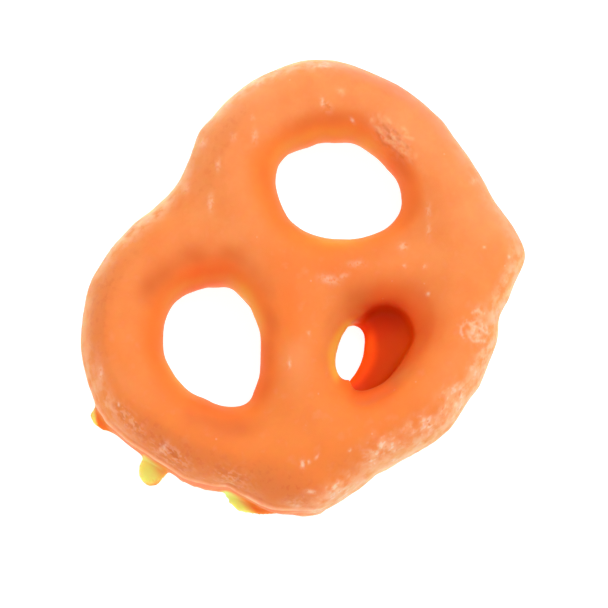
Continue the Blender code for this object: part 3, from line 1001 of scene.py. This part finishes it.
class Nodes:
    """Short calls that add shader nodes and link them."""

    def __init__(self, material):
        self.tree = material.node_tree

    def give(self, socket, value):
        """Links another node's output to a socket, or sets the socket to a plain value."""
        if isinstance(value, bpy.types.NodeSocket):
            self.tree.links.new(value, socket)
        else:
            socket.default_value = value

    def add(self, kind, inputs=None, **settings):
        node = self.tree.nodes.new(kind)
        for name, value in settings.items():
            setattr(node, name, value)
        for name, value in (inputs or {}).items():
            self.give(node.inputs[name], value)
        return node

    def noise(self, vector, size, detail, roughness):
        made = self.add("ShaderNodeTexNoise", {"Vector": vector, "Scale": 1 / (size * MM), "Detail": detail,
                                               "Roughness": roughness})
        return made.outputs["Fac"]

    def attribute(self, name):
        return self.add("ShaderNodeAttribute", attribute_name=name).outputs["Fac"]

    def ramp(self, value, low, high):
        made = self.add("ShaderNodeMapRange", {"Value": value, "From Min": low, "From Max": high})
        return made.outputs["Result"]

    def math(self, operation, a, b):
        return self.add("ShaderNodeMath", {0: a, 1: b}, operation=operation, use_clamp=True).outputs["Value"]

    def mix(self, share, a, b):
        """Mixes two colours. A Mix node's sockets for colours are found by number, not by name."""
        made = self.tree.nodes.new("ShaderNodeMix")
        made.data_type = "RGBA"
        for number, value in ((0, share), (6, a), (7, b)):
            self.give(made.inputs[number], value)
        return made.outputs[2]

    def layers(self, colour, rows):
        """Lays colours over one another, each with the mask that it follows and its strength."""
        for mask, strength, over in rows:
            share = self.attribute(mask)
            if strength < 1:
                share = self.math("MULTIPLY", share, strength)
            colour = self.mix(share, colour, over)
        return colour


def base_colour(n, place):
    """The coating's orange, made lighter towards the view's top by painted light, clouded, with broad painted
    light and shade, and painted glow and shade at the rims.
    """
    # Painted light: lighter towards the view's top
    colour = n.mix(n.attribute("upper"), LESS_LIT_ORANGE, MORE_LIT_ORANGE)
    cloudy = n.ramp(n.noise(place, 2.2, 5, 0.65), 0.40, 0.68)
    colour = n.mix(n.math("MULTIPLY", cloudy, CLOUD_STRENGTH), colour, CLOUD_ORANGE)
    colour = n.layers(colour, PAINTED_TONE_LAYERS)
    pinkish = n.ramp(n.noise(place, 1.1, 3, 0.6), 0.55, 0.78)
    colour = n.mix(n.math("MULTIPLY", pinkish, PINK_STRENGTH), colour, PINK_ORANGE)
    return n.layers(colour, RIM_LAYERS)


def edge_colour(n, place, colour):
    """The outer edge's patchy bloom with a painted halo, its painted shade with red spots, its painted rosy
    shade, its painted cream glow, and its lip's bloom and painted highlight with painted shade and glow
    below.
    """
    haze = n.ramp(n.noise(place, 1.2, 4, 0.6), 0.41, 0.60)
    bloom_and_halo = n.math("MULTIPLY", n.attribute("edge_bloom_and_halo"), haze)
    colour = n.mix(n.math("MULTIPLY", bloom_and_halo, BLOOM_AND_HALO_STRENGTH), colour, PALE_BLOOM_AND_HALO)
    colour = n.layers(colour, SHADE_LAYERS)
    spotted = n.math("MAXIMUM", n.attribute("shade"), n.attribute("edge_shade"))
    spots = n.math("MULTIPLY", spotted, n.ramp(n.noise(place, 0.6, 3, 0.6), 0.53, 0.62))
    colour = n.mix(n.math("MULTIPLY", spots, SPOT_STRENGTH), colour, SPOT_RED)
    return n.layers(colour, EDGE_LAYERS)


def hollow_colour(n, colour):
    """Painted deep red shade in the small hole's hollow, and painted glow at its gap."""
    web = n.mix(n.attribute("hollow_shadow_side"), WEB_SHADE_RED, HOLLOW_SHADE_RED)
    web = n.layers(web, WEB_LAYERS)
    colour = n.mix(n.attribute("hollow_depth"), colour, web)
    return n.mix(n.attribute("gap_rim_glow"), colour, YELLOW_RIM_GLOW)


def dusted(n, place, colour):
    """A few small chalky dots, strewn by noise."""
    dots = n.add("ShaderNodeTexVoronoi", {"Vector": place, "Scale": 1 / (DOT_SPACING * MM)})
    chance = n.add("ShaderNodeSeparateColor", {"Color": dots.outputs["Color"]}).outputs["Red"]
    few = n.ramp(chance, 0.8, 0.84)
    small = n.math("SUBTRACT", 1.0, n.ramp(dots.outputs["Distance"], 0.03, 0.09))
    dust = n.math("MULTIPLY", n.math("MULTIPLY", few, small), DOT_STRENGTH)
    return n.mix(dust, colour, CHALK)


def coating_material():
    material = bpy.data.materials.new("yogurt_coating")
    material.use_nodes = True
    n = Nodes(material)
    shader = material.node_tree.nodes["Principled BSDF"]
    place = n.add("ShaderNodeTexCoord").outputs["Object"]

    colour = base_colour(n, place)
    colour = edge_colour(n, place, colour)
    colour = hollow_colour(n, colour)
    colour = n.layers(colour, MARK_LAYERS)
    colour = dusted(n, place, colour)
    # Painted glow of the thin drips
    drip = n.mix(n.attribute("drip_glow_yellow"), DRIP_GLOW_ORANGE, DRIP_GLOW_YELLOW)
    colour = n.mix(n.attribute("drip"), colour, drip)
    rough = n.add("ShaderNodeMapRange", {"Value": n.noise(place, ROUGHNESS_SIZE, 3, 0.6),
                                         "To Min": ROUGHNESS[0], "To Max": ROUGHNESS[1]})
    bump = n.add("ShaderNodeBump", {"Height": n.noise(place, BUMP_SIZE, 4, 0.6), "Strength": BUMP_STRENGTH,
                                    "Distance": BUMP_DEPTH * MM})

    n.give(shader.inputs["Base Color"], colour)
    n.give(shader.inputs["Roughness"], rough.outputs["Result"])
    n.give(shader.inputs["Normal"], bump.outputs["Normal"])
    shader.inputs["Subsurface Weight"].default_value = 1.0
    shader.inputs["Subsurface Radius"].default_value = LIGHT_SPREAD
    shader.inputs["Subsurface Scale"].default_value = MM
    shader.inputs["IOR"].default_value = COATING_IOR
    shader.inputs["Specular IOR Level"].default_value = COATING_SPECULAR
    return material


def make_coating():
    coating = fine_mesh("pretzel")
    relief(coating.data)
    coating.data.materials.clear()
    coating.data.materials.append(coating_material())
    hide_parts("pretzel")
    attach(coating, "root")


def make_table():
    """A white glowing table top, as under the photo."""
    bpy.ops.mesh.primitive_plane_add(size=TABLE_SIZE, location=(0, 0, TABLE_HEIGHT * MM))
    table = bpy.context.object
    table.name = "white_table"
    material = bpy.data.materials.new("white_table")
    material.use_nodes = True
    shader = material.node_tree.nodes["Principled BSDF"]
    shader.inputs["Base Color"].default_value = TABLE_GREY
    shader.inputs["Roughness"].default_value = TABLE_ROUGHNESS
    shader.inputs["Specular IOR Level"].default_value = TABLE_SPECULAR
    shader.inputs["Emission Color"].default_value = (1, 1, 1, 1)
    shader.inputs["Emission Strength"].default_value = TABLE_GLOW
    table.data.materials.append(material)
    table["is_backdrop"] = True


def aim(obj, target):
    obj.rotation_euler = (target - obj.location).to_track_quat("-Z", "Y").to_euler()


def direction(azimuth, elevation):
    """The unit vector from the centre towards this azimuth and elevation."""
    a, e = math.radians(azimuth), math.radians(elevation)
    return Vector((math.sin(a) * math.cos(e), -math.cos(a) * math.cos(e), math.sin(e)))


def make_lamp(name, azimuth, elevation, distance, size, power):
    """A round white lamp that shines on the middle of the part."""
    data = bpy.data.lights.new(name, "AREA")
    data.shape = "DISK"
    data.size = size
    data.energy = power
    lamp = bpy.data.objects.new(name, data)
    bpy.context.scene.collection.objects.link(lamp)
    lamp.location = direction(azimuth, elevation) * distance
    aim(lamp, Vector((0, 0, 0)))


def make_lights():
    world = bpy.data.worlds.new("studio")
    bpy.context.scene.world = world
    world.use_nodes = True
    background = world.node_tree.nodes["Background"]
    background.inputs["Color"].default_value = (1, 1, 1, 1)
    background.inputs["Strength"].default_value = WORLD_STRENGTH
    for name, settings in LAMPS.items():
        make_lamp(name, *settings)


def make_camera():
    lowest, highest = (Vector(corner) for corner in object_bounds())
    centre = (lowest + highest) / 2
    width = (highest - lowest).xy.length
    data = bpy.data.cameras.new("camera")
    camera = bpy.data.objects.new("camera", data)
    bpy.context.scene.collection.objects.link(camera)
    camera.location = centre + direction(CAMERA_AZIMUTH, CAMERA_ELEVATION) * CAMERA_DISTANCE
    aim(camera, centre)
    data.sensor_width = CAMERA_SENSOR
    data.lens = CAMERA_SENSOR * CAMERA_DISTANCE / width
    data.clip_start = CAMERA_CLIP
    bpy.context.scene.camera = camera


make_coating()
make_table()
make_lights()
make_camera()

view = bpy.context.scene.view_settings
view.view_transform = "Standard"
view.look = "None"
